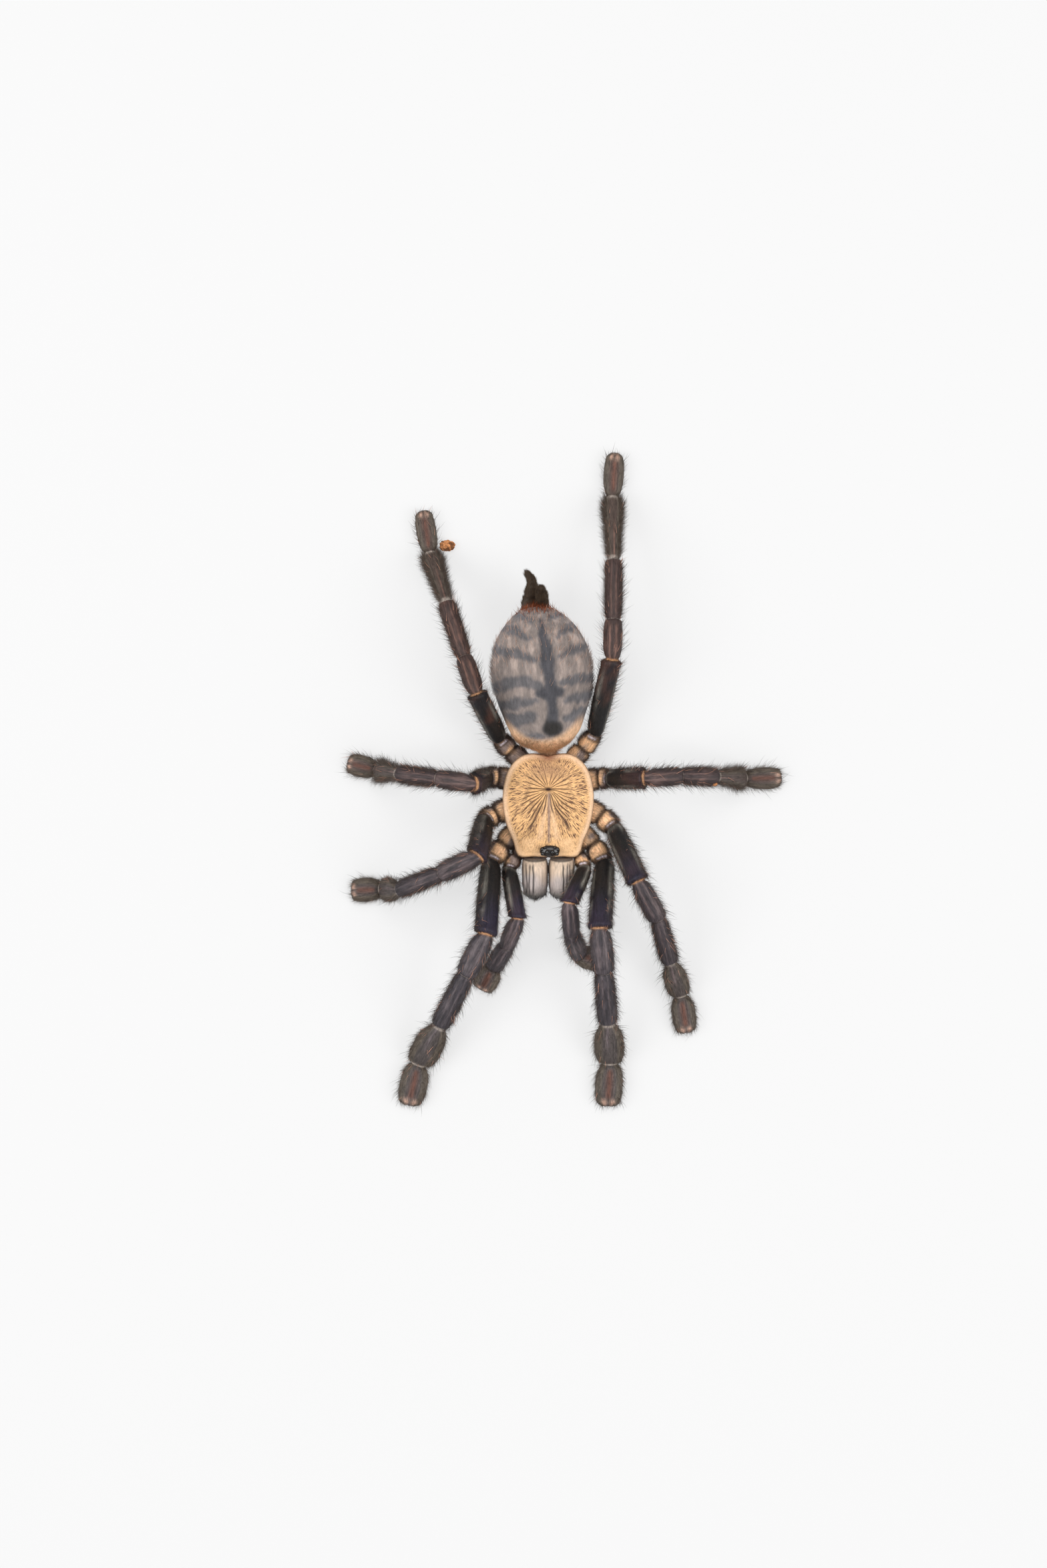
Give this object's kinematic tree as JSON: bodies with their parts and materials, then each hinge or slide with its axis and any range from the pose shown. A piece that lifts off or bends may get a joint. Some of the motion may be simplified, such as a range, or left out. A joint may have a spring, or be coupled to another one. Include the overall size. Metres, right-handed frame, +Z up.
{
  "type": "tarantula specimen",
  "caption": "Dried tarantula set in a walking stance, legs arched, resting on the soles of its feet, with body, jaws, palps, legs and spinnerets as separate pieces.",
  "frame": {"origin": "on the surface that the feet stand on, under the middle of the leg span", "axes": "+Z up from that surface, -Y the way the head faces, +X the spider's own left"},
  "size_m": [0.0911, 0.137, 0.0204],
  "materials": {
    "carapace": "short golden-tan hair on a hard plate, satin",
    "abdomen": "taupe velvet of short hair with slate bands",
    "leg": "dark brown to black hair with pinkish bald stripes",
    "chelicera": "grey-pink hair with dark stripes",
    "fang": "glossy black horn",
    "sternum": "dark brown short hair",
    "spinneret": "dark olive-brown short hair",
    "soil": "rust-brown dry soil"
  },
  "bodies": {
    "root": {"carapace": "carapace", "sternum": "sternum", "abdomen": "abdomen", "chelicera_left": "chelicera", "chelicera_right": "chelicera", "fang_left": "fang", "fang_right": "fang", "leg_1_left": "leg", "leg_1_right": "leg", "leg_2_left": "leg", "leg_2_right": "leg", "leg_3_left": "leg", "leg_3_right": "leg", "leg_4_left": "leg", "leg_4_right": "leg", "palp_left": "leg", "palp_right": "leg", "spinneret_long_left": "spinneret", "spinneret_long_right": "spinneret", "spinneret_short_left": "spinneret", "spinneret_short_right": "spinneret", "soil_crumb": "soil"}
  },
  "joints": []
}
